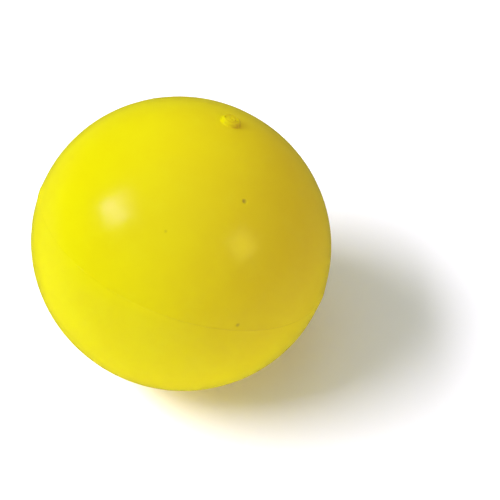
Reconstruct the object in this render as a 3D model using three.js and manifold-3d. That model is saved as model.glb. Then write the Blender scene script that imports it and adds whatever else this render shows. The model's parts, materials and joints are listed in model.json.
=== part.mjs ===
// An inflatable playground ball of moulded rubber, lying on a floor at Z = 0.
// Millimetres and degrees. Every piece is turned round the ball's own valve axis, local +Z,
// with the ball's centre at the local origin, and the whole ball is then tilted as it lies.

import * as THREE from "three";
import { mergeVertices } from "three/addons/utils/BufferGeometryUtils.js";
import Module from "manifold-3d";

const manifold = await Module();
manifold.setup();

// The ball: slightly wider across its middle than along its valve axis.
const equatorRadius = 107.6;
const poleRadius = 104;

// How it lies: the valve axis leans away from straight up, towards a heading turned from +X.
const poleTilt = 26;
const poleHeading = 39;
const restFlatDepth = 0.8;

// Wall layers, from the outside in, with a thin gap between each layer and the next.
const coverThickness = 1.8;
const windingThickness = 0.6;
const bladderThickness = 0.8;
const layerGap = 0.3;
const windingDepth = coverThickness + layerGap;
const bladderDepth = windingDepth + windingThickness + layerGap;
const liningDepth = bladderDepth + bladderThickness + layerGap;

// The mould line: a low bead on each half, with the joint between the halves in its middle.
// It runs round the ball a little above its widest circle, on the valve's side.
const mouldLineHeight = 9.5;
const beadRise = 0.4;
const beadHalfWidth = 1.1;

// The valve: a raised boss on the cover, the boot's neck inside it, and the core inside that.
const bossRadius = 6.8;
const bossRise = 2.8;
const bossRounding = 1.6;
const bossFootWidth = 0.7;
const bossFootRise = 0.2;
const valveHoleRadius = 4.6;
const bossTop = poleRadius + bossRise;

const bootNeckRadius = valveHoleRadius - layerGap;
const bootRecess = 0.1;
const bootLength = 24;
const bootRimChamfer = 0.2;
const bootEndChamfer = 0.8;
const bootTop = bossTop - bootRecess;
const bootBottom = bootTop - bootLength;
const boreRadius = 2.6;
const seatRadius = 3.7;
const seatDepth = 2.6;
const flangeRadius = 14;
const flangeThickness = 1.2;
const flangeEdgeTaper = 0.4;
const flangeDepth = liningDepth + bootRecess;

const coreHeadRadius = seatRadius - layerGap;
const coreHeadFloor = bootTop - seatDepth + layerGap;
const coreShoulder = bootTop - bootRimChamfer;
const coreCrown = 0.3;
const coreTop = bossTop + coreCrown;
const coreStemRadius = boreRadius - layerGap;
const coreTipRecess = 1.5;
const coreTip = bootBottom + coreTipRecess;
const coreTipRadius = 1.3;
const coreTipLength = 2.5;
const needleRadius = 0.6;
const needleDepth = 16;
const needleMouthRadius = 1.3;
const needleMouthDepth = 0.8;

// Bonded pieces inside the bladder.
const valvePatchRadius = 21;
const valvePatchThickness = 0.8;
const flangeClearance = 0.5;
const balancePatchRadius = 25;
const balancePatchThickness = 1.6;
const balancePatchTaper = 1;

// Fineness of the turned surfaces. No ring is closer to the end of an arc than the least gap.
const shellSegments = 40;
const valveSegments = 24;
const angleStep = 9;
const leastAngleGap = 1;
const cornerSteps = 3;
const domeSteps = 4;

// A point on the ball's oval section, a depth under the outer skin, at an angle from the valve pole.
function ringPoint(depth, angle) {
  const turn = THREE.MathUtils.degToRad(angle);
  return new THREE.Vector2(
    (equatorRadius - depth) * Math.sin(turn),
    (poleRadius - depth) * Math.cos(turn),
  );
}

// The same between two rings, on the straight facet that joins them, so that layers nest.
function sectionPoint(depth, angle) {
  const ring = Math.floor(angle / angleStep) * angleStep;
  const share = (angle - ring) / angleStep;
  return ringPoint(depth, ring).lerp(ringPoint(depth, ring + angleStep), share);
}

// The angle at which the oval at that depth is a given distance from the valve axis.
function angleAtRadius(depth, radius) {
  return THREE.MathUtils.radToDeg(Math.asin(radius / (equatorRadius - depth)));
}

// The angle at which the oval at that depth is a given height above the ball's middle.
function angleAtHeight(depth, height) {
  return THREE.MathUtils.radToDeg(Math.acos(height / (poleRadius - depth)));
}

// Points along the oval between two angles. All layers share the same steps, so they nest.
function sectionArc(depth, fromAngle, toAngle) {
  const low = Math.min(fromAngle, toAngle);
  const high = Math.max(fromAngle, toAngle);
  const angles = [low];
  for (let angle = angleStep; angle < 180; angle += angleStep) {
    if (angle > low + leastAngleGap && angle < high - leastAngleGap) {
      angles.push(angle);
    }
  }
  angles.push(high);
  if (fromAngle > toAngle) {
    angles.reverse();
  }
  return angles.map((angle) => sectionPoint(depth, angle));
}

// The boss's rounded outer edge, from its side up to its top face.
function bossEdge() {
  const centre = new THREE.Vector2(bossRadius - bossRounding, bossTop - bossRounding);
  const points = [];
  for (let step = 0; step <= cornerSteps; step += 1) {
    const turn = ((Math.PI / 2) * step) / cornerSteps;
    const spoke = new THREE.Vector2(Math.cos(turn), Math.sin(turn));
    points.push(spoke.multiplyScalar(bossRounding).add(centre));
  }
  return points;
}

// Turns a section round the valve axis. A section that is off the axis is closed on itself.
function turned(points, segments) {
  const offAxis = points[0].x > 0;
  const outline = offAxis ? [...points, points[0].clone()] : points;
  const geometry = new THREE.LatheGeometry(outline, segments);
  geometry.rotateX(Math.PI / 2);
  return geometry;
}

function solidFrom(geometry) {
  const bare = geometry.clone();
  bare.deleteAttribute("normal");
  bare.deleteAttribute("uv");
  const merged = mergeVertices(bare);
  return new manifold.Manifold(
    new manifold.Mesh({
      numProp: 3,
      vertProperties: new Float32Array(merged.attributes.position.array),
      triVerts: new Uint32Array(merged.index.array),
    }),
  );
}

function geometryFrom(solid) {
  const mesh = solid.getMesh();
  const geometry = new THREE.BufferGeometry();
  geometry.setAttribute("position", new THREE.BufferAttribute(mesh.vertProperties, 3));
  geometry.setIndex(new THREE.BufferAttribute(mesh.triVerts, 1));
  geometry.computeVertexNormals();
  return geometry;
}

// How the ball lies, and how far its centre is above the floor once the rest flat is pressed in.
const tilt = THREE.MathUtils.degToRad(poleTilt);
const heading = THREE.MathUtils.degToRad(poleHeading);
const poleDirection = new THREE.Vector3(
  Math.sin(tilt) * Math.cos(heading),
  Math.sin(tilt) * Math.sin(heading),
  Math.cos(tilt),
);
const lie = new THREE.Quaternion().setFromUnitVectors(new THREE.Vector3(0, 0, 1), poleDirection);
const centreHeight =
  Math.hypot(equatorRadius * Math.sin(tilt), poleRadius * Math.cos(tilt)) - restFlatDepth;

// The bead beside the mould line, from the joint face out to where it dies into the skin.
function beadPoints(side) {
  const line = sectionPoint(0, angleAtHeight(0, mouldLineHeight));
  return [
    new THREE.Vector2(line.x + beadRise, mouldLineHeight + side * (layerGap / 2)),
    sectionPoint(0, angleAtHeight(0, mouldLineHeight + side * beadHalfWidth)),
  ];
}

// The outer cover half with the valve: bead, skin, raised boss and the hole through it.
function coverUpper() {
  const bossFoot = bossRadius + bossFootWidth;
  const inner = coverThickness;
  return turned([
    ...beadPoints(1),
    ...sectionArc(0, 90 - angleStep, angleAtRadius(0, bossFoot)),
    new THREE.Vector2(bossRadius, poleRadius + bossFootRise),
    ...bossEdge(),
    new THREE.Vector2(valveHoleRadius, bossTop),
    ...sectionArc(
      inner,
      angleAtRadius(inner, valveHoleRadius),
      angleAtHeight(inner, mouldLineHeight + layerGap / 2),
    ),
  ], shellSegments);
}

// The other cover half, pressed flat where the ball rests on the floor.
function coverLower() {
  const inner = coverThickness;
  const shell = turned([
    ...sectionArc(0, 180, 90),
    ...beadPoints(-1).reverse(),
    ...sectionArc(inner, angleAtHeight(inner, mouldLineHeight - layerGap / 2), 180),
  ], shellSegments);
  const blockSize = equatorRadius;
  const floorBlock = new THREE.BoxGeometry(blockSize, blockSize, blockSize);
  floorBlock.translate(0, 0, -centreHeight - blockSize / 2);
  floorBlock.applyQuaternion(lie.clone().invert());
  return geometryFrom(solidFrom(shell).subtract(solidFrom(floorBlock)));
}

// A closed layer all round the ball, open only at the valve.
function fullLayer(depth, thickness) {
  const inner = depth + thickness;
  return turned([
    ...sectionArc(depth, 180, angleAtRadius(depth, valveHoleRadius)),
    ...sectionArc(inner, angleAtRadius(inner, valveHoleRadius), 180),
  ], shellSegments);
}

// The flanged rubber tube that seats the core: its neck fills the hole through every layer.
function valveBoot() {
  const under = flangeDepth + flangeThickness;
  const middle = flangeDepth + flangeThickness / 2;
  const flatRadius = flangeRadius - flangeEdgeTaper;
  return turned([
    new THREE.Vector2(boreRadius, bootBottom),
    new THREE.Vector2(bootNeckRadius - bootEndChamfer, bootBottom),
    new THREE.Vector2(bootNeckRadius, bootBottom + bootEndChamfer),
    ...sectionArc(under, angleAtRadius(under, bootNeckRadius), angleAtRadius(under, flatRadius)),
    sectionPoint(middle, angleAtRadius(middle, flangeRadius)),
    ...sectionArc(
      flangeDepth,
      angleAtRadius(flangeDepth, flatRadius),
      angleAtRadius(flangeDepth, bootNeckRadius),
    ),
    new THREE.Vector2(bootNeckRadius, bootTop - bootRimChamfer),
    new THREE.Vector2(bootNeckRadius - bootRimChamfer, bootTop),
    new THREE.Vector2(seatRadius, bootTop),
    new THREE.Vector2(seatRadius, bootTop - seatDepth),
    new THREE.Vector2(boreRadius, bootTop - seatDepth),
  ], valveSegments);
}

// The push-in core: a domed head, a stem, and the blind channel that the needle opens.
function valveCore() {
  const dome = new THREE.QuadraticBezierCurve(
    new THREE.Vector2(coreHeadRadius, coreShoulder),
    new THREE.Vector2(coreHeadRadius - coreCrown, coreTop),
    new THREE.Vector2(needleMouthRadius, coreTop),
  );
  return turned([
    new THREE.Vector2(0, coreTip),
    new THREE.Vector2(coreTipRadius, coreTip),
    new THREE.Vector2(coreStemRadius, coreTip + coreTipLength),
    new THREE.Vector2(coreStemRadius, coreHeadFloor),
    new THREE.Vector2(coreHeadRadius, coreHeadFloor),
    ...dome.getPoints(domeSteps),
    new THREE.Vector2(needleRadius, coreTop - needleMouthDepth),
    new THREE.Vector2(needleRadius, coreTop - needleDepth),
    new THREE.Vector2(0, coreTop - needleDepth),
  ], valveSegments);
}

// The rubber ring that bonds the boot's flange to the bladder, stepping up over the flange's edge.
function valvePatch() {
  const over = flangeDepth + flangeThickness + layerGap;
  const outer = flangeDepth;
  const bore = bootNeckRadius + flangeClearance;
  const step = flangeRadius + flangeClearance;
  const overInner = over + valvePatchThickness;
  const outerInner = outer + valvePatchThickness;
  const innerStep = step + valvePatchThickness;
  return turned([
    ...sectionArc(overInner, angleAtRadius(overInner, bore), angleAtRadius(overInner, innerStep)),
    ...sectionArc(
      outerInner,
      angleAtRadius(outerInner, innerStep),
      angleAtRadius(outerInner, valvePatchRadius),
    ),
    ...sectionArc(outer, angleAtRadius(outer, valvePatchRadius), angleAtRadius(outer, step)),
    ...sectionArc(over, angleAtRadius(over, step), angleAtRadius(over, bore)),
  ], valveSegments);
}

// The disc inside the bladder opposite the valve, as heavy as the valve's pieces.
function balancePatch() {
  const outer = liningDepth;
  const inner = outer + balancePatchThickness;
  const topRadius = balancePatchRadius - balancePatchTaper;
  return turned([
    ...sectionArc(outer, 180, 180 - angleAtRadius(outer, balancePatchRadius)),
    ...sectionArc(inner, 180 - angleAtRadius(inner, topRadius), 180),
  ], shellSegments);
}

const yellowRubber = { color: 0xe8d412, roughness: 0.5, metalness: 0 };
const valveRubber = { color: 0xdcc61a, roughness: 0.45, metalness: 0 };
const nylonThread = { color: 0xe6e1d2, roughness: 0.6, metalness: 0 };
const blackButyl = { color: 0x1c1c1e, roughness: 0.55, metalness: 0 };
const greyRubber = { color: 0x4a4a4c, roughness: 0.7, metalness: 0 };

const pieces = [
  ["cover_upper", coverUpper(), yellowRubber],
  ["cover_lower", coverLower(), yellowRubber],
  ["carcass_winding", fullLayer(windingDepth, windingThickness), nylonThread],
  ["bladder", fullLayer(bladderDepth, bladderThickness), blackButyl],
  ["valve_boot", valveBoot(), valveRubber],
  ["valve_core", valveCore(), valveRubber],
  ["valve_patch", valvePatch(), greyRubber],
  ["balance_patch", balancePatch(), greyRubber],
];

const ball = new THREE.Group();
for (const [name, geometry, finish] of pieces) {
  const mesh = new THREE.Mesh(geometry, new THREE.MeshStandardMaterial(finish));
  mesh.name = name;
  ball.add(mesh);
}
ball.quaternion.copy(lie);

// The ball's outline is centred on the origin in plan, and its rest flat lies on the floor.
ball.updateMatrixWorld(true);
const outline = new THREE.Box3().setFromObject(ball, true);
ball.position.set(
  -(outline.min.x + outline.max.x) / 2,
  -(outline.min.y + outline.max.y) / 2,
  centreHeight,
);

const part = new THREE.Group();
part.add(ball);

export default part;
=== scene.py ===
"""A moulded rubber playground ball on a pale floor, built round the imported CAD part. Metres, +Z up.

Every piece is turned round the ball's own valve axis, local +Z, with the ball's centre at the local
origin, and is then laid the way the CAD part lies.
"""

import json
import math

import bpy
import numpy as np
from mathutils import Matrix, Vector, noise

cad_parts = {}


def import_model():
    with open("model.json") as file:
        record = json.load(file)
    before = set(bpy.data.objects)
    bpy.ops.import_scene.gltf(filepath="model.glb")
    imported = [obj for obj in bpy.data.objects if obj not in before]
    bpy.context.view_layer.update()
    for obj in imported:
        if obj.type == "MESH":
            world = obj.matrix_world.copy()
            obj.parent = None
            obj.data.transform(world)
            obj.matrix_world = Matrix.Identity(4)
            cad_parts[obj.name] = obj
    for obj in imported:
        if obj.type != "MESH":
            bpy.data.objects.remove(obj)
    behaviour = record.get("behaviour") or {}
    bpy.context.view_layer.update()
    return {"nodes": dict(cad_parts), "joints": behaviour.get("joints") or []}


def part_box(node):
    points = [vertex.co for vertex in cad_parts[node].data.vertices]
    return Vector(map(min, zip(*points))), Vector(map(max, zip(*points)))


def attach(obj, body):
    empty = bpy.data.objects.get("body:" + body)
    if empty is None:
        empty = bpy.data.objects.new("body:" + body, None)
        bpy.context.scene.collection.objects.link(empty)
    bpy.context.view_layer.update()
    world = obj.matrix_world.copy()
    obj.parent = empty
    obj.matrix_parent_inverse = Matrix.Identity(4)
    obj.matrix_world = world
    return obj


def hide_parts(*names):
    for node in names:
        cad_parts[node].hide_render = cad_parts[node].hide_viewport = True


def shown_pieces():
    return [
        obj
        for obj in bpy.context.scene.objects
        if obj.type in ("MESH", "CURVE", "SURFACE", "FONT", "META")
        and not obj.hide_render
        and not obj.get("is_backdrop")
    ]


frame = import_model()

MM = 0.001

# How the ball lies, from the CAD part: its valve axis and its centre.
valve_axis = Vector(frame["joints"][0]["axis"]).normalized()
bladder_low, bladder_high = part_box("bladder")
centre = (bladder_low + bladder_high) / 2
lie = Vector((0, 0, 1)).rotation_difference(valve_axis)
ball_frame = Matrix.Translation(centre) @ lie.to_matrix().to_4x4()


def local_points(node):
    """The vertices of a CAD node in the ball's own frame."""
    inverse = ball_frame.inverted()
    return np.array([inverse @ vertex.co for vertex in frame["nodes"][node].data.vertices])


def widest(node):
    return float(np.hypot(*local_points(node)[:, :2].T).max())


def highest(node):
    return float(local_points(node)[:, 2].max())


def lowest(node):
    return float(local_points(node)[:, 2].min())


# Sizes read from the CAD part.
skin_equator = widest("cover_lower")
skin_pole = -lowest("cover_lower")
mould_line = (lowest("cover_upper") + highest("cover_lower")) / 2
boss_top = highest("cover_upper")
boot_top = highest("valve_boot")
boot_bottom = lowest("valve_boot")
core_top = highest("valve_core")
core_tip = lowest("valve_core")
flange_radius = widest("valve_boot")
patch_radius = widest("valve_patch")
balance_radius = widest("balance_patch")

# Depths of the wall's layers under the skin.
SKIN_INSET = 0.25 * MM
COVER_DEPTH = 1.8 * MM
WINDING_DEPTH = 2.1 * MM
WINDING_THICKNESS = 0.6 * MM
BLADDER_DEPTH = 3.0 * MM
BLADDER_THICKNESS = 0.8 * MM
FLANGE_DEPTH = 4.2 * MM
FLANGE_THICKNESS = 1.2 * MM

# The valve.
HOLE_RADIUS = 4.6 * MM
BOSS_RADIUS = 6.8 * MM
BOSS_ROUNDING = 1.7 * MM
BOSS_FILLET = 0.7 * MM
BOSS_LIP = 0.25 * MM
NECK_RADIUS = 4.3 * MM
BORE_RADIUS = 2.6 * MM
SEAT_RADIUS = 3.7 * MM
SEAT_DEPTH = 2.6 * MM
CORE_HEAD_RADIUS = 3.4 * MM
CORE_STEM_RADIUS = 2.3 * MM
NEEDLE_RADIUS = 0.6 * MM
NEEDLE_DEPTH = 16 * MM

RIGHT_ANGLE = math.pi / 2
HALF_TURN = math.pi


# ---------------------------------------------------------------- outlines

def oval_point(depth, angle):
    """(radius, height) of the ball's oval section, at an angle from the valve pole."""
    return ((skin_equator - depth) * math.sin(angle), (skin_pole - depth) * math.cos(angle))


def oval(depth, start, end, spacing):
    """Points along the oval from one angle to another, about that far apart."""
    steps = max(2, math.ceil(abs(end - start) * skin_equator / spacing))
    return [oval_point(depth, start + (end - start) * i / steps) for i in range(steps + 1)]


def at_radius(depth, radius):
    """The angle at which the oval at that depth is a given distance from the valve axis."""
    return math.asin(radius / (skin_equator - depth))


def at_height(depth, height):
    """The angle at which the oval at that depth is a given height above the ball's middle."""
    return math.acos(height / (skin_pole - depth))


def arc(x, y, radius, start, end, steps=6):
    """Points of an arc round (x, y), with its angles in degrees."""
    turns = [math.radians(start + (end - start) * i / steps) for i in range(steps + 1)]
    return [(x + radius * math.cos(t), y + radius * math.sin(t)) for t in turns]


# ---------------------------------------------------------------- meshes

def add_object(name, vertices, faces, body, node, material):
    """A smooth-shaded piece of the ball, laid as the CAD part lies."""
    mesh = bpy.data.meshes.new(name)
    mesh.from_pydata([tuple(v) for v in vertices], [], faces)
    mesh.transform(ball_frame)
    mesh.validate()
    mesh.polygons.foreach_set("use_smooth", [True] * len(mesh.polygons))
    mesh.materials.append(material)
    mesh.update()
    piece = bpy.data.objects.new(name, mesh)
    bpy.context.scene.collection.objects.link(piece)
    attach(piece, body)
    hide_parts(node)
    return piece


ON_AXIS = 1e-9


def turned(section, segments):
    """Vertices and faces of a section turned round the valve axis, outside facing out.

    The section runs clockwise, seen with the valve axis upwards and on its left.
    A section off the axis is closed on itself.
    """
    turns = np.arange(segments) * 2 * math.pi / segments
    spokes = np.stack([np.cos(turns), np.sin(turns)], 1)
    vertices, rings = [], []
    count = 0
    for radius, height in section:
        if radius < ON_AXIS:
            vertices.append(np.array([[0, 0, height]]))
            rings.append([count] * segments)
            count += 1
        else:
            ring = np.column_stack([spokes * radius, np.full(segments, height)])
            vertices.append(ring)
            rings.append(list(range(count, count + segments)))
            count += segments
    off_axis = section[0][0] > ON_AXIS
    following = rings[1:] + rings[:1] if off_axis else rings[1:]
    faces = []
    for upper, lower in zip(rings, following):
        for i in range(segments):
            k = (i + 1) % segments
            corners = (upper[i], lower[i], lower[k], upper[k])
            face = tuple(dict.fromkeys(corners))
            if len(face) > 2:
                faces.append(face)
    return np.concatenate(vertices), faces


# ---------------------------------------------------------------- the outer skin

SEGMENTS = 576
FINE = 0.12 * MM
SKIN_SPACING = 1.0 * MM
PIT_SPACING = 0.5 * MM
INNER_SPACING = 3.0 * MM
JOINT_HALF_GAP = 0.01 * MM

# Directions from the ball's centre, in the row frame, of what the surface shows.
PIT_DIRECTION = Vector((0.431, -0.359, 0.828))
SPECK_DIRECTION = Vector((-0.050, -0.589, 0.807))
SEAM_MARK_DIRECTION = Vector((0.380, -0.885, 0.269))
KINKS = (
    (Vector((-0.920, 0.061, 0.387)), 1.1 * MM, 9 * MM),
    (Vector((0.930, -0.362, -0.063)), 0.7 * MM, 14 * MM),
)

UNEVENNESS = 0.10 * MM
UNEVENNESS_PER_TURN = 2.3
UNEVENNESS_INWARD = 0.6
UNEVENNESS_OFFSET = 0.0
MOTTLE = 0.035 * MM
MOTTLE_PER_TURN = 13.0
MOTTLE_OFFSET = 7.3
PIT_DEPTH = 1.0 * MM
PIT_RADIUS = 1.2 * MM
PIT_RIM = 0.04 * MM
PIT_BAND = 4 * PIT_RADIUS
SPECK_DEPTH = 0.25 * MM
SPECK_RADIUS = 0.8 * MM
MARK_DEPTH = 0.5 * MM
MARK_RADIUS = 1.3 * MM

SEAM_SWELL = 0.02 * MM
SEAM_SWELL_WIDTH = 6.5 * MM
SEAM_FAINTEST = 0.25
SEAM_PROUD_LENGTH = 62 * MM
BEAD_RISE = 0.3 * MM
BEAD_HALF_WIDTH = 1.2 * MM
BEAD_PER_TURN = 9.0
BEAD_OFFSET = 3.1
BEAD_SHARE = 0.7
BEAD_SWING = 0.7
BEAD_LEAST = 0.2
BEAD_BAND = 3 * BEAD_HALF_WIDTH
STEP_HEIGHT = 0.10 * MM
STEP_FADE = 2.5 * MM
EDGE_ROUNDING = 0.05 * MM
FLAT_LIFT = 0.005 * MM


def in_ball(direction):
    """A row-frame direction in the ball's own frame, as a unit vector."""
    return (lie.inverted() @ direction).normalized()


def bell(distance, radius):
    return np.exp(-((distance / radius) ** 2))


def noise_at(directions, per_turn, offset):
    shift = Vector((offset, offset, offset))
    return np.array([noise.noise(Vector(d) * per_turn + shift) for d in directions])


def arc_length_to(directions, direction):
    """How far along the skin each point is from a feature."""
    cosines = np.clip(directions @ np.array(in_ball(direction)), -1, 1)
    return np.arccos(cosines) * skin_equator


def relief(directions, heights):
    """How far the skin stands above the plain oval, from the mould and from use."""
    broad = noise_at(directions, UNEVENNESS_PER_TURN, UNEVENNESS_OFFSET)
    rise = UNEVENNESS * (broad - UNEVENNESS_INWARD)
    rise += MOTTLE * noise_at(directions, MOTTLE_PER_TURN, MOTTLE_OFFSET)
    pit = arc_length_to(directions, PIT_DIRECTION)
    rise -= PIT_DEPTH * bell(pit, PIT_RADIUS)
    rise += PIT_RIM * bell(pit - 2 * PIT_RADIUS, PIT_RADIUS)
    rise -= SPECK_DEPTH * bell(arc_length_to(directions, SPECK_DIRECTION), SPECK_RADIUS)
    rise -= MARK_DEPTH * bell(arc_length_to(directions, SEAM_MARK_DIRECTION), MARK_RADIUS)
    return rise + seam_relief(directions, heights - mould_line)


def beside(directions, direction, length):
    """1 where the mould line passes a feature, falling away along it on both sides."""
    feature = in_ball(direction)
    along = np.arctan2(directions[:, 1], directions[:, 0]) - math.atan2(feature.y, feature.x)
    along = (along + math.pi) % (2 * math.pi) - math.pi
    return bell(along * skin_equator, length)


def seam_relief(directions, heights):
    """The mould line: a few swollen places, a thin uneven bead, and a step between halves."""
    away = np.abs(heights)
    swell = SEAM_SWELL
    for direction, kink_rise, length in KINKS:
        swell = swell + kink_rise * beside(directions, direction, length)
    rise = swell * bell(heights, SEAM_SWELL_WIDTH)
    around = noise_at(directions * [1, 1, 0], BEAD_PER_TURN, BEAD_OFFSET)
    unevenness = BEAD_SHARE + BEAD_SWING * around
    front = beside(directions, SEAM_MARK_DIRECTION, SEAM_PROUD_LENGTH)
    proud = SEAM_FAINTEST + (1 - SEAM_FAINTEST) * front
    profile = 0.5 + 0.5 * np.cos(np.pi * np.minimum(away / BEAD_HALF_WIDTH, 1))
    rise += BEAD_RISE * proud * np.clip(unevenness, BEAD_LEAST, 1) * profile
    rise += STEP_HEIGHT * proud * np.sign(heights) * np.exp(-away / STEP_FADE)
    inward = np.clip(1 - (away - JOINT_HALF_GAP) / EDGE_ROUNDING, 0, 1)
    return rise - EDGE_ROUNDING * (1 - np.sqrt(1 - inward ** 2))


def add_relief(vertices):
    """Moves the points of the outer skin, and leaves the inside of the cover alone."""
    scale = np.array([skin_equator, skin_equator, skin_pole])
    level = np.linalg.norm(vertices / scale, axis=1)
    outer = level > 1 - COVER_DEPTH / 2 / skin_pole
    directions = vertices[outer] / np.linalg.norm(vertices[outer], axis=1)[:, None]
    vertices[outer] += directions * relief(directions, vertices[outer, 2])[:, None]
    return vertices


def press_flat(vertices):
    """Presses the skin flat where the ball stands on the floor."""
    rotation = np.array(lie.to_matrix())
    height = vertices @ rotation[2] + centre.z - FLAT_LIFT
    pushed = np.maximum(-height, 0)
    return vertices + pushed[:, None] * rotation[2]


def seam_to(angle_end, side):
    """The skin from the mould line to an angle, fine where the bead and the pit are."""
    pit_angle = math.acos(in_ball(PIT_DIRECTION).z)
    start = at_height(SKIN_INSET, mould_line + side * JOINT_HALF_GAP)
    bead_end = at_height(SKIN_INSET, mould_line + side * BEAD_BAND)
    if side < 0:
        return [
            *oval(SKIN_INSET, start, bead_end, FINE),
            *oval(SKIN_INSET, bead_end, angle_end, SKIN_SPACING)[1:],
        ]
    band = PIT_BAND / skin_equator
    return [
        *oval(SKIN_INSET, start, bead_end, FINE),
        *oval(SKIN_INSET, bead_end, pit_angle + band, SKIN_SPACING)[1:],
        *oval(SKIN_INSET, pit_angle + band, pit_angle - band, PIT_SPACING)[1:],
        *oval(SKIN_INSET, pit_angle - band, angle_end, SKIN_SPACING)[1:],
    ]


def boss_section():
    """The raised valve boss, from its foot in the skin over its top and into the hole."""
    foot_radius = BOSS_RADIUS + BOSS_FILLET
    foot_height = oval_point(SKIN_INSET, at_radius(SKIN_INSET, foot_radius))[1]
    shoulder = boss_top - BOSS_ROUNDING
    return [
        *arc(foot_radius, foot_height + BOSS_FILLET, BOSS_FILLET, 270, 180)[1:],
        *arc(BOSS_RADIUS - BOSS_ROUNDING, shoulder, BOSS_ROUNDING, 0, 90, 10),
        *arc(HOLE_RADIUS + BOSS_LIP, boss_top - BOSS_LIP, BOSS_LIP, 90, 180, 4),
    ]


def upper_cover_section():
    foot = at_radius(SKIN_INSET, BOSS_RADIUS + BOSS_FILLET)
    hole = at_radius(COVER_DEPTH, HOLE_RADIUS)
    inner_edge = at_height(COVER_DEPTH, mould_line + JOINT_HALF_GAP)
    return [
        *seam_to(foot, 1),
        *boss_section(),
        *oval(COVER_DEPTH, hole, inner_edge, INNER_SPACING),
    ]


def lower_cover_section():
    inner_edge = at_height(COVER_DEPTH, mould_line - JOINT_HALF_GAP)
    return [
        *reversed(seam_to(HALF_TURN, -1)),
        *oval(COVER_DEPTH, inner_edge, HALF_TURN, INNER_SPACING),
    ]


def cover(material):
    vertices, faces = turned(upper_cover_section()[::-1], SEGMENTS)
    vertices = add_relief(vertices)
    add_object("cover_top_half", vertices, faces, "ball", "cover_upper", material)
    vertices, faces = turned(lower_cover_section()[::-1], SEGMENTS)
    vertices = press_flat(add_relief(vertices))
    add_object("cover_floor_half", vertices, faces, "ball", "cover_lower", material)


# ---------------------------------------------------------------- inside the cover

SHELL_SEGMENTS = 192
SHELL_SPACING = 3.2 * MM
VALVE_SEGMENTS = 96
GAP = 0.3 * MM

THREAD_LOOPS = 170
THREAD_STEPS = 108
THREAD_HALF_WIDTH = 0.55 * MM
THREAD_HALF_THICKNESS = 0.08 * MM
THREAD_LEVELS = 3
THREAD_MAT_THICKNESS = 0.18 * MM
THREAD_VALVE_ROOM = 4 * THREAD_HALF_WIDTH
GOLDEN_ANGLE = math.pi * (3 - math.sqrt(5))

RIB_RISE = 0.15 * MM
RIB_HALF_WIDTH = 0.6 * MM


def thread_normals():
    """The axes of the thread's loops, spread evenly, without those that would cross the valve."""
    clear = math.sin((HOLE_RADIUS + THREAD_VALVE_ROOM) / skin_equator)
    for i in range(THREAD_LOOPS):
        z = (i + 0.5) / THREAD_LOOPS
        turn = GOLDEN_ANGLE * i
        across = math.sqrt(1 - z * z)
        if z > clear:
            yield Vector((across * math.cos(turn), across * math.sin(turn), z))


def thread_loop(normal, depth):
    """Rings of points of one flat loop of thread, right round the ball at that depth."""
    first = normal.orthogonal().normalized()
    second = normal.cross(first)
    size = np.array([skin_equator - depth, skin_equator - depth, skin_pole - depth])
    turns = np.arange(THREAD_STEPS) * 2 * math.pi / THREAD_STEPS
    outward = np.outer(np.cos(turns), first) + np.outer(np.sin(turns), second)
    middle = outward * size
    side = np.array(normal) * THREAD_HALF_WIDTH
    edge = outward * THREAD_HALF_THICKNESS
    return np.stack([middle + side, middle + edge, middle - side, middle - edge], 1)


def thread_windings(material):
    """The nylon thread wound round the bladder in great loops that cross at every angle."""
    vertices, faces = [], []
    count = 0
    first_depth = WINDING_DEPTH + THREAD_HALF_THICKNESS
    room = WINDING_THICKNESS - THREAD_MAT_THICKNESS - 2 * THREAD_HALF_THICKNESS
    for i, normal in enumerate(thread_normals()):
        depth = first_depth + room * (i % THREAD_LEVELS) / (THREAD_LEVELS - 1)
        rings = thread_loop(normal, depth)
        vertices.append(rings.reshape(-1, 3))
        for step in range(THREAD_STEPS):
            here = count + 4 * step
            after = count + 4 * ((step + 1) % THREAD_STEPS)
            for k in range(4):
                m = (k + 1) % 4
                faces.append((here + k, here + m, after + m, after + k))
        count += 4 * THREAD_STEPS
    node = "carcass_winding"
    add_object("thread_loops", np.concatenate(vertices), faces, "ball", node, material)


def thread_mat(material):
    """The lowest turns of the winding, pressed together into one closed layer."""
    inner = WINDING_DEPTH + WINDING_THICKNESS
    outer = inner - THREAD_MAT_THICKNESS
    section = [
        *oval(outer, HALF_TURN, at_radius(outer, HOLE_RADIUS), SHELL_SPACING),
        *oval(inner, at_radius(inner, HOLE_RADIUS), HALF_TURN, SHELL_SPACING),
    ]
    vertices, faces = turned(section[::-1], SHELL_SEGMENTS)
    add_object("thread_mat", vertices, faces, "ball", "carcass_winding", material)


def bladder(material):
    """The air-tight bladder, with a moulded rib round its middle."""
    inner = BLADDER_DEPTH + BLADDER_THICKNESS
    half_rib = RIB_HALF_WIDTH / skin_equator
    below, above = RIGHT_ANGLE + half_rib, RIGHT_ANGLE - half_rib
    section = [
        *oval(BLADDER_DEPTH, HALF_TURN, below, SHELL_SPACING),
        *oval(BLADDER_DEPTH - RIB_RISE, below - half_rib / 2, above + half_rib / 2, FINE),
        *oval(BLADDER_DEPTH, above, at_radius(BLADDER_DEPTH, HOLE_RADIUS), SHELL_SPACING),
        *oval(inner, at_radius(inner, HOLE_RADIUS), HALF_TURN, SHELL_SPACING),
    ]
    vertices, faces = turned(section[::-1], SHELL_SEGMENTS)
    add_object("bladder_wall", vertices, faces, "ball", "bladder", material)


# ---------------------------------------------------------------- the valve

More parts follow.
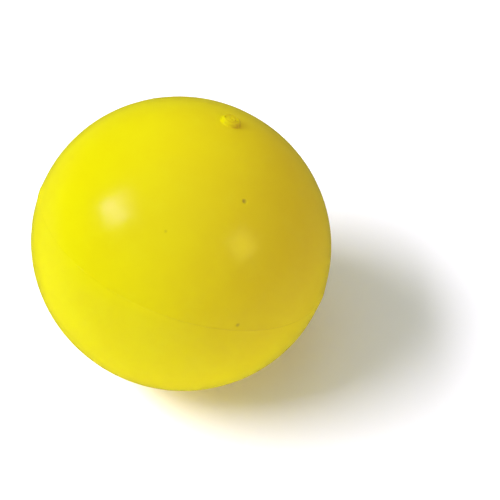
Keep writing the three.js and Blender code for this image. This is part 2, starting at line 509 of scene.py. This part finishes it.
RIM_ROUNDING = 0.2 * MM
BORE_RINGS = 4
BORE_RING_RISE = 0.1 * MM
BORE_RING_LENGTH = 0.9 * MM
STEM_GROOVES = 5
STEM_GROOVE_DEPTH = 0.12 * MM
STEM_GROOVE_LENGTH = 1.2 * MM
WAVE_STEPS = 8
DOME_STEPS = 12
TIP_RADIUS = 1.3 * MM
TIP_LENGTH = 2.5 * MM
MOUTH_RADIUS = 1.3 * MM
MOUTH_DEPTH = 0.8 * MM


def wavy_side(radius, low, high, count, length, swing):
    """A straight side with a few shallow rings, from its low end to its high end."""
    points = []
    pitch = (high - low) / (count + 1)
    for i in range(1, count + 1):
        middle = low + pitch * i
        for step in range(WAVE_STEPS + 1):
            share = step / WAVE_STEPS
            rise = swing * math.sin(math.pi * share) ** 2
            points.append((radius + rise, middle + length * (share - 0.5)))
    return [(radius, low), *points, (radius, high)]


def valve_boot(material):
    """The flanged tube, with rings in its bore that grip the core, and a seat for its head."""
    under = FLANGE_DEPTH + FLANGE_THICKNESS
    edge = FLANGE_THICKNESS / 2
    flat = flange_radius - edge
    middle = oval_point(FLANGE_DEPTH + edge, at_radius(FLANGE_DEPTH, flat))[1]
    seat_floor = boot_top - SEAT_DEPTH
    rim = RIM_ROUNDING
    neck = at_radius(FLANGE_DEPTH, NECK_RADIUS)
    section = [
        *wavy_side(
            BORE_RADIUS, boot_bottom, seat_floor,
            BORE_RINGS, BORE_RING_LENGTH, -BORE_RING_RISE,
        ),
        *arc(SEAT_RADIUS - rim, seat_floor + rim, rim, 270, 360, 4),
        *arc(SEAT_RADIUS + rim / 2, boot_top - rim / 2, rim / 2, 180, 90, 3),
        *arc(NECK_RADIUS - rim, boot_top - rim, rim, 90, 0, 4),
        *oval(FLANGE_DEPTH, neck, at_radius(FLANGE_DEPTH, flat), MM),
        *arc(flat, middle, edge, 75, -75, 8),
        *oval(under, at_radius(under, flat), at_radius(under, NECK_RADIUS + rim), MM),
        *arc(NECK_RADIUS - 4 * rim, boot_bottom + 4 * rim, 4 * rim, 0, -90, 6),
    ]
    vertices, faces = turned(section, VALVE_SEGMENTS)
    add_object("valve_boot_tube", vertices, faces, "ball", "valve_boot", material)


def valve_core(material):
    """The push-in core: a domed head with the needle's mouth, and a grooved stem."""
    head_floor = boot_top - SEAT_DEPTH + GAP
    shoulder = boot_top - RIM_ROUNDING
    rim = RIM_ROUNDING
    crown = core_top - shoulder
    slope = CORE_HEAD_RADIUS - MOUTH_RADIUS
    turns = [RIGHT_ANGLE * i / DOME_STEPS for i in range(DOME_STEPS + 1)]
    dome = [(MOUTH_RADIUS + slope * math.cos(t), shoulder + crown * math.sin(t)) for t in turns]
    stem_low = core_tip + TIP_LENGTH
    section = [
        (0, core_tip),
        *arc(TIP_RADIUS - rim, core_tip + rim, rim, 270, 340, 4),
        *wavy_side(
            CORE_STEM_RADIUS, stem_low, head_floor,
            STEM_GROOVES, STEM_GROOVE_LENGTH, -STEM_GROOVE_DEPTH,
        ),
        *arc(CORE_HEAD_RADIUS - rim, head_floor + rim, rim, 270, 360, 4),
        *dome,
        *arc(NEEDLE_RADIUS + MOUTH_DEPTH, core_top - MOUTH_DEPTH, MOUTH_DEPTH, 100, 180, 6),
        (NEEDLE_RADIUS, core_top - NEEDLE_DEPTH),
        (0, core_top - NEEDLE_DEPTH),
    ]
    vertices, faces = turned(section[::-1], VALVE_SEGMENTS)
    add_object("valve_core_plug", vertices, faces, "valve_core", "valve_core", material)


PATCH_THICKNESS = 0.8 * MM
PATCH_CLEARANCE = 0.5 * MM
PATCH_SKIVE = 2.0 * MM
BALANCE_THICKNESS = 1.6 * MM
BALANCE_SKIVE = 2.5 * MM
LINING_DEPTH = BLADDER_DEPTH + BLADDER_THICKNESS + GAP


def valve_patch(material):
    """The ring that bonds the flange to the bladder: it steps up over the flange's edge."""
    over = FLANGE_DEPTH + FLANGE_THICKNESS + GAP
    bore = NECK_RADIUS + PATCH_CLEARANCE
    step = flange_radius + PATCH_CLEARANCE
    thin = patch_radius - PATCH_SKIVE
    rim = at_radius(FLANGE_DEPTH, patch_radius)
    outer_side = [
        *oval(over, at_radius(over, bore), at_radius(over, step), MM),
        *oval(FLANGE_DEPTH, at_radius(FLANGE_DEPTH, step + GAP), rim, MM),
    ]
    low = FLANGE_DEPTH + PATCH_THICKNESS
    high = over + PATCH_THICKNESS
    edge = [oval_point(FLANGE_DEPTH + GAP / 2, rim)]
    inner_side = [
        *oval(low, at_radius(low, thin), at_radius(low, step + PATCH_THICKNESS + GAP), MM),
        *oval(high, at_radius(high, step + PATCH_THICKNESS / 2), at_radius(high, bore), MM),
    ]
    vertices, faces = turned([*outer_side, *edge, *inner_side], VALVE_SEGMENTS)
    add_object("valve_patch_ring", vertices, faces, "ball", "valve_patch", material)


def balance_patch(material):
    """The thicker disc opposite the valve, with a skived edge."""
    inner = LINING_DEPTH + BALANCE_THICKNESS
    wide = HALF_TURN - at_radius(LINING_DEPTH, balance_radius)
    thin = HALF_TURN - at_radius(inner, balance_radius - BALANCE_SKIVE)
    edge_depth = LINING_DEPTH + GAP / 2
    section = [
        *oval(LINING_DEPTH, HALF_TURN, wide, MM),
        oval_point(edge_depth, HALF_TURN - at_radius(edge_depth, balance_radius)),
        *oval(inner, thin, HALF_TURN, MM),
    ]
    vertices, faces = turned(section[::-1], VALVE_SEGMENTS)
    add_object("balance_disc", vertices, faces, "ball", "balance_patch", material)


# ---------------------------------------------------------------- nodes for the materials

class Nodes:
    """A short way to build a node material whose patterns lie in the ball's own frame."""

    def __init__(self, name):
        self.material = bpy.data.materials.new(name)
        self.material.use_nodes = True
        self.tree = self.material.node_tree
        self.shader = self.tree.nodes["Principled BSDF"]
        place = self.add("ShaderNodeTexCoord")
        turn = self.add("ShaderNodeMapping", vector_type="TEXTURE")
        turn.inputs["Location"].default_value = centre
        turn.inputs["Rotation"].default_value = lie.to_euler()
        self.link(place.outputs["Object"], turn.inputs["Vector"])
        self.place = turn.outputs["Vector"]

    def add(self, kind, **settings):
        node = self.tree.nodes.new(kind)
        for key, value in settings.items():
            setattr(node, key, value)
        return node

    def link(self, source, target):
        self.tree.links.new(source, target)

    def noise(self, size, detail=2.0, roughness=0.5, stretch=None):
        """A noise pattern whose features are about that size, in metres."""
        node = self.add("ShaderNodeTexNoise")
        node.inputs["Scale"].default_value = 1 / size
        node.inputs["Detail"].default_value = detail
        node.inputs["Roughness"].default_value = roughness
        source = self.place
        if stretch:
            scaled = self.add("ShaderNodeMapping")
            scaled.inputs["Scale"].default_value = stretch
            self.link(source, scaled.inputs["Vector"])
            source = scaled.outputs["Vector"]
        self.link(source, node.inputs["Vector"])
        return node.outputs["Fac"]

    def between(self, value, low, high, to_low=0.0, to_high=1.0):
        """Stretches the part of a value between low and high over another range."""
        node = self.add("ShaderNodeMapRange", interpolation_type="SMOOTHSTEP")
        limits = {"From Min": low, "From Max": high, "To Min": to_low, "To Max": to_high}
        for key, limit in limits.items():
            node.inputs[key].default_value = limit
        self.link(value, node.inputs["Value"])
        return node.outputs["Result"]

    def mix(self, share, first, second):
        """Mixes two colours. Each is a value or the output of another node."""
        node = self.add("ShaderNodeMix", data_type="RGBA")
        self.link(share, node.inputs["Factor"])
        for socket, colour in ((node.inputs[6], first), (node.inputs[7], second)):
            if isinstance(colour, tuple):
                socket.default_value = (*colour, 1)
            else:
                self.link(colour, socket)
        return node.outputs[2]

    def near(self, direction, radius, most):
        """The most at a feature of the skin, falling to 0 at that distance from it."""
        spot = in_ball(direction)
        node = self.add("ShaderNodeVectorMath", operation="DISTANCE")
        self.link(self.place, node.inputs[0])
        level = 1 / math.sqrt(
            (spot.x ** 2 + spot.y ** 2) / skin_equator ** 2 + spot.z ** 2 / skin_pole ** 2
        )
        node.inputs[1].default_value = spot * level
        return self.between(node.outputs["Value"], 0, radius, most, 0.0)

    def height(self):
        """The height above the ball's centre along the valve axis."""
        node = self.add("ShaderNodeSeparateXYZ")
        self.link(self.place, node.inputs["Vector"])
        return node.outputs["Z"]

    def bumps(self, *layers):
        """Stacks bumps, each a (height value, depth in metres), onto the shader's normal."""
        normal = None
        for value, depth in layers:
            node = self.add("ShaderNodeBump")
            node.inputs["Strength"].default_value = 1
            node.inputs["Distance"].default_value = depth
            self.link(value, node.inputs["Height"])
            if normal:
                self.link(normal, node.inputs["Normal"])
            normal = node.outputs["Normal"]
        self.link(normal, self.shader.inputs["Normal"])

    def finish(self, colour, rough_value, roughness, specular):
        """Joins the colour, the roughness between its two ends, and the specular level."""
        self.link(colour, self.shader.inputs["Base Color"])
        rough = self.between(rough_value, 0.3, 0.7, *roughness)
        self.link(rough, self.shader.inputs["Roughness"])
        self.shader.inputs["Specular IOR Level"].default_value = specular
        return self.material


YELLOW = (0.87, 0.765, 0.006)
DEEP_YELLOW = (0.855, 0.735, 0.006)
PALE_YELLOW = (0.88, 0.79, 0.010)
# The smudge colour: real dirt, scuffs and grime, and also painted shade along the mould line.
SMUDGE_AND_SHADE = (0.66, 0.52, 0.03)
# Painted shade: the dark brown put into the pit and the two small dents.
PAINTED_DENT_SHADE = (0.26, 0.19, 0.02)
LOOP_WHITE = (0.86, 0.83, 0.74)
MAT_WHITE = (0.80, 0.77, 0.67)
THREAD_SHADOW = (0.62, 0.58, 0.48)
THREAD_STAIN = (0.66, 0.58, 0.4)
BUTYL_BLACK = (0.012, 0.012, 0.013)
TALC = (0.19, 0.19, 0.18)
BUFFED_DARK = (0.045, 0.045, 0.048)
BUFFED_PALE = (0.13, 0.13, 0.135)
PATCH_STAIN = (0.09, 0.08, 0.06)

COVER_SPECULAR = 0.07
COVER_ROUGHNESS = (0.16, 0.22)
VALVE_ROUGHNESS = (0.42, 0.55)
THREAD_ROUGHNESS = (0.5, 0.7)
BUTYL_ROUGHNESS = (0.42, 0.75)
PATCH_ROUGHNESS = (0.7, 0.9)
THREAD_SPECULAR = 0.4
BUTYL_SPECULAR = 0.4
PATCH_SPECULAR = 0.3
THREAD_SHEEN = 0.25
THREAD_SHEEN_ROUGHNESS = 0.4

# The sizes of the cover's patterns, and how deep or how strong each is.
CLOUD_SIZE = 45 * MM
BLOOM_SIZE = 16 * MM
BLOOM_SHARE = 0.35
SCUFF_SIZE = 3 * MM
SCUFF_STRETCH = (1, 1, 0.3)
SCUFF_SHARE = 0.07
DUST_SIZE = 1.1 * MM
DUST_SHARE = 0.12
# Dust and painted shade along the mould line: a thin strip there is darkened with the smudge colour,
# most near the seam mark.
LINE_DUST_AND_SHADE_SHARE = 0.25
LINE_DUST_AND_SHADE_REACH = 100 * MM
LINE_DUST_AND_SHADE_CORE = 0.05 * MM
LINE_DUST_AND_SHADE_WIDTH = 0.6 * MM
ORANGE_PEEL_SIZE = 4 * MM
ORANGE_PEEL_DEPTH = 0.004 * MM
GRAIN_SIZE = 0.35 * MM
GRAIN_DEPTH = 0.0015 * MM
GLOSS_PATCH_SIZE = 9 * MM


def cover_material():
    """Smooth moulded rubber: faint cloudiness, dust specks and scuffs, dust and painted shade along
    the mould line, and painted shade in the pit and two small dents.
    """
    n = Nodes("yellow_rubber")
    cloud = n.between(n.noise(CLOUD_SIZE, 3), 0.35, 0.65)
    colour = n.mix(cloud, YELLOW, DEEP_YELLOW)
    bloom = n.between(n.noise(BLOOM_SIZE, 4, 0.6), 0.5, 0.75, 0, BLOOM_SHARE)
    colour = n.mix(bloom, colour, PALE_YELLOW)
    scuff = n.between(n.noise(SCUFF_SIZE, 3, 0.6, SCUFF_STRETCH), 0.66, 0.8, 0, SCUFF_SHARE)
    colour = n.mix(scuff, colour, SMUDGE_AND_SHADE)
    dust = n.between(n.noise(DUST_SIZE, 1), 0.76, 0.84, 0, DUST_SHARE)
    colour = n.mix(dust, colour, SMUDGE_AND_SHADE)
    # Dust and painted shade: the smudge colour darkens the mould line, standing in for the shade of
    # the joint's groove.
    line = n.add("ShaderNodeMath", operation="SUBTRACT")
    n.link(n.height(), line.inputs[0])
    line.inputs[1].default_value = mould_line
    away = n.add("ShaderNodeMath", operation="ABSOLUTE")
    n.link(line.outputs[0], away.inputs[0])
    line_dust_and_shade = n.add("ShaderNodeMath", operation="MULTIPLY")
    dust_and_shade_strip = n.between(away.outputs[0], LINE_DUST_AND_SHADE_CORE, LINE_DUST_AND_SHADE_WIDTH, 1.0, 0.0)
    n.link(dust_and_shade_strip, line_dust_and_shade.inputs[0])
    n.link(n.near(SEAM_MARK_DIRECTION, LINE_DUST_AND_SHADE_REACH, LINE_DUST_AND_SHADE_SHARE), line_dust_and_shade.inputs[1])
    colour = n.mix(line_dust_and_shade.outputs[0], colour, SMUDGE_AND_SHADE)
    # Painted shade: the pit, the speck dent and the mould-line mark are darkened towards their
    # middles.
    for direction, radius, share in (
        (PIT_DIRECTION, 1.9 * PIT_RADIUS, 1.0),
        (SPECK_DIRECTION, 2 * SPECK_RADIUS, 0.3),
        (SEAM_MARK_DIRECTION, 1.6 * MARK_RADIUS, 0.6),
    ):
        colour = n.mix(n.near(direction, radius, share), colour, PAINTED_DENT_SHADE)
    grain = n.noise(GRAIN_SIZE, 2)
    orange_peel = n.noise(ORANGE_PEEL_SIZE, 2)
    n.bumps((orange_peel, ORANGE_PEEL_DEPTH), (grain, GRAIN_DEPTH))
    return n.finish(colour, n.noise(GLOSS_PATCH_SIZE, 3), COVER_ROUGHNESS, COVER_SPECULAR)


def valve_material():
    """The same yellow rubber, a little duller, with random grime and a fine bumpy surface."""
    n = Nodes("valve_rubber")
    colour = n.mix(n.between(n.noise(5 * MM, 3), 0.35, 0.7), YELLOW, DEEP_YELLOW)
    grime = n.between(n.noise(1.5 * MM, 3), 0.6, 0.72, 0, 0.35)
    colour = n.mix(grime, colour, SMUDGE_AND_SHADE)
    n.bumps((n.noise(0.3 * MM, 2), 0.006 * MM), (n.noise(2 * MM, 2), 0.015 * MM))
    return n.finish(colour, n.noise(3 * MM, 2), VALVE_ROUGHNESS, COVER_SPECULAR)


def thread_material(name, tint, stretch):
    """Off-white nylon yarn: fine filaments along it and a slight unevenness of colour."""
    n = Nodes(name)
    strands = n.noise(0.25 * MM, 2, 0.6, stretch)
    # Painted shade: the darker streaks between the filaments use the thread-shadow colour.
    colour = n.mix(n.between(strands, 0.3, 0.7), THREAD_SHADOW, tint)
    colour = n.mix(n.between(n.noise(20 * MM, 2), 0.4, 0.8, 0, 0.4), colour, THREAD_STAIN)
    n.bumps((strands, 0.05 * MM), (n.noise(0.8 * MM, 1), 0.06 * MM))
    n.shader.inputs["Sheen Weight"].default_value = THREAD_SHEEN
    n.shader.inputs["Sheen Roughness"].default_value = THREAD_SHEEN_ROUGHNESS
    return n.finish(colour, strands, THREAD_ROUGHNESS, THREAD_SPECULAR)


def butyl_material():
    """Black bladder rubber dusted with talc, which gathers in patches."""
    n = Nodes("black_butyl")
    talc = n.between(n.noise(12 * MM, 5, 0.65), 0.45, 0.8, 0, 0.55)
    colour = n.mix(talc, BUTYL_BLACK, TALC)
    n.bumps((n.noise(0.5 * MM, 3), 0.03 * MM), (n.noise(7 * MM, 2), 0.08 * MM))
    return n.finish(colour, n.noise(12 * MM, 5, 0.65), BUTYL_ROUGHNESS, BUTYL_SPECULAR)


def patch_material():
    """Grey repair rubber, buffed with a wire wheel before it was bonded."""
    n = Nodes("buffed_grey_rubber")
    scratches = n.noise(0.6 * MM, 3, 0.7, (1, 0.12, 1))
    colour = n.mix(n.between(scratches, 0.35, 0.65), BUFFED_DARK, BUFFED_PALE)
    colour = n.mix(n.between(n.noise(6 * MM, 3), 0.5, 0.8, 0, 0.5), colour, PATCH_STAIN)
    n.bumps((scratches, 0.08 * MM), (n.noise(0.4 * MM, 2), 0.02 * MM))
    return n.finish(colour, scratches, PATCH_ROUGHNESS, PATCH_SPECULAR)


# ---------------------------------------------------------------- studio

CAMERA_ELEVATION = 50
CAMERA_DISTANCE = 0.9953
CAMERA_LENS = 100
SENSOR_WIDTH = 36
AIM_RIGHT = 0.0487
AIM_DOWN = 0.0048


def camera():
    elevation = math.radians(CAMERA_ELEVATION)
    up = Vector((0, math.sin(elevation), math.cos(elevation)))
    back = Vector((0, -math.cos(elevation), math.sin(elevation)))
    aim = centre + Vector((AIM_RIGHT, 0, 0)) - up * AIM_DOWN
    data = bpy.data.cameras.new("camera")
    data.lens = CAMERA_LENS
    data.sensor_width = SENSOR_WIDTH
    eye = bpy.data.objects.new("camera", data)
    eye.location = aim + back * CAMERA_DISTANCE
    eye.rotation_euler = (RIGHT_ANGLE - elevation, 0, 0)
    bpy.context.scene.collection.objects.link(eye)
    bpy.context.scene.camera = eye


LIGHT_DISTANCE = 1.6
LIGHT_POWER = 40


def softbox(name, azimuth, elevation, size, colour, lit, shine=True, shade=True):
    """A soft light aimed at the ball. It lights only one group, with or without shine and shade."""
    a, e = math.radians(azimuth), math.radians(elevation)
    towards = Vector((math.cos(e) * math.cos(a), math.cos(e) * math.sin(a), math.sin(e)))
    data = bpy.data.lights.new(name, "AREA")
    data.shape = "RECTANGLE"
    data.size, data.size_y = size
    data.energy = LIGHT_POWER
    data.color = colour
    light = bpy.data.objects.new(name, data)
    light.location = centre + towards * LIGHT_DISTANCE
    light.rotation_euler = towards.to_track_quat("Z", "Y").to_euler()
    light.visible_camera = False
    light.visible_glossy = shine
    light.visible_diffuse = shade
    light.light_linking.receiver_collection = lit
    bpy.context.scene.collection.objects.link(light)


PAPER_WHITE = (0.8, 0.8, 0.8, 1)
FLOOR_RADIUS = 1.3
FLOOR_ROUGHNESS = 0.7
FLOOR_GLOW = (0.262, 0.222, 0.170)
FLOOR_EDGE_GLOW = 5
ROOM_GLOW = 0.2
ROOM_TINT = (1.0, 0.95, 0.4)
SWEEP_RADIUS = 4.0
SWEEP_CORNER = 0.8
SWEEP_HEIGHT = 3.0
STAGE_SEGMENTS = 128


def stage_object(name, section, material):
    vertices, faces = turned(section, STAGE_SEGMENTS)
    mesh = bpy.data.meshes.new(name)
    mesh.from_pydata([tuple(v) for v in vertices], [], faces)
    mesh.polygons.foreach_set("use_smooth", [True] * len(mesh.polygons))
    mesh.materials.append(material)
    plane = bpy.data.objects.new(name, mesh)
    bpy.context.scene.collection.objects.link(plane)
    plane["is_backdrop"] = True
    return plane


def floor():
    """A white table that glows a little, and more towards its edge, where the softboxes fade."""
    material = bpy.data.materials.new("white_table")
    material.use_nodes = True
    tree = material.node_tree
    shader = tree.nodes["Principled BSDF"]
    shader.inputs["Base Color"].default_value = PAPER_WHITE
    shader.inputs["Roughness"].default_value = FLOOR_ROUGHNESS
    shader.inputs["Specular IOR Level"].default_value = 0
    shader.inputs["Emission Color"].default_value = (*FLOOR_GLOW, 1)
    place = tree.nodes.new("ShaderNodeTexCoord")
    far = tree.nodes.new("ShaderNodeVectorMath")
    far.operation = "LENGTH"
    glow = tree.nodes.new("ShaderNodeMapRange")
    limits = {
        "From Min": FLOOR_RADIUS / 2,
        "From Max": FLOOR_RADIUS,
        "To Min": 1,
        "To Max": FLOOR_EDGE_GLOW,
    }
    for key, limit in limits.items():
        glow.inputs[key].default_value = limit
    tree.links.new(place.outputs["Object"], far.inputs[0])
    tree.links.new(far.outputs["Value"], glow.inputs["Value"])
    tree.links.new(glow.outputs["Result"], shader.inputs["Emission Strength"])
    table = stage_object("floor", [(0, 0), (FLOOR_RADIUS / 2, 0), (FLOOR_RADIUS, 0)], material)
    table.visible_glossy = False
    return table


def backdrop():
    """The white paper sweep round the table. Only the camera sees it."""
    material = bpy.data.materials.new("white_sweep")
    material.use_nodes = True
    shader = material.node_tree.nodes["Principled BSDF"]
    shader.inputs["Base Color"].default_value = PAPER_WHITE
    shader.inputs["Emission Color"].default_value = (1, 1, 1, 1)
    shader.inputs["Emission Strength"].default_value = 1
    corner = arc(SWEEP_RADIUS - SWEEP_CORNER, SWEEP_CORNER, SWEEP_CORNER, 270, 360, 12)
    section = [(FLOOR_RADIUS, 0), *corner, (SWEEP_RADIUS, SWEEP_HEIGHT)]
    sweep = stage_object("backdrop", [*section, *section[::-1]], material)
    sweep.visible_diffuse = False
    sweep.visible_glossy = False
    sweep.visible_shadow = False


def world():
    """The dim room: smooth surfaces mirror it, and it lights nothing else."""
    room = bpy.data.worlds.new("room")
    bpy.context.scene.world = room
    room.use_nodes = True
    background = room.node_tree.nodes["Background"]
    background.inputs["Color"].default_value = (*ROOM_TINT, 1)
    background.inputs["Strength"].default_value = ROOM_GLOW
    room.cycles_visibility.diffuse = False


def group(name, objects):
    collection = bpy.data.collections.new(name)
    for thing in objects:
        collection.objects.link(thing)
    return collection


def studio():
    """Soft light from the left for the ball and its shadow, and a bright table under it."""
    table = floor()
    backdrop()
    world()
    ball = group("ball_pieces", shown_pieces())
    ground = group("ground", [table])
    softbox("shadow_key", 186, 51, (1.28, 0.58), (1.35, 1.30, 1.48), ground)
    softbox("table_top_light", 200, 80, (1.8, 1.8), (0.28, 0.35, 0.39), ground)
    softbox("key", 190, 47, (0.9, 0.5), (0.30, 0.372, 0.05), ball, shine=False)
    softbox("overhead", 200, 80, (1.8, 1.8), (0.36, 0.326, 0.12), ball, shine=False)
    softbox("back_light", 100, 25, (1.4, 1.4), (0.20, 0.185, 0.06), ball, shine=False)
    softbox("fill", -29, 32, (0.6, 0.6), (0.145, 0.085, 1.5), ball, shine=False)
    softbox("key_shine_wide", 187, 49.5, (0.66, 0.66), (0.09, 0.07, 0.20), ball, shade=False)
    softbox("key_shine", 186.5, 45.5, (0.5, 0.5), (0.10, 0.08, 0.22), ball, shade=False)
    softbox("key_shine_upper", 181, 44, (0.2, 0.2), (0.03, 0.023, 0.065), ball, shade=False)
    softbox("key_shine_lower", 196, 48.5, (0.2, 0.2), (0.02, 0.016, 0.05), ball, shade=False)
    softbox("fill_shine", -29, 32, (0.42, 0.42), (0.35, 0.32, 0.0), ball, shade=False)


yellow_valve = valve_material()
grey_rubber = patch_material()
cover(cover_material())
thread_windings(thread_material("nylon_thread", LOOP_WHITE, (1, 1, 0.25)))
thread_mat(thread_material("nylon_mat", MAT_WHITE, (1, 0.3, 1)))
bladder(butyl_material())
valve_boot(yellow_valve)
valve_core(yellow_valve)
valve_patch(grey_rubber)
balance_patch(grey_rubber)
camera()
studio()
bpy.context.scene.view_settings.view_transform = "Standard"
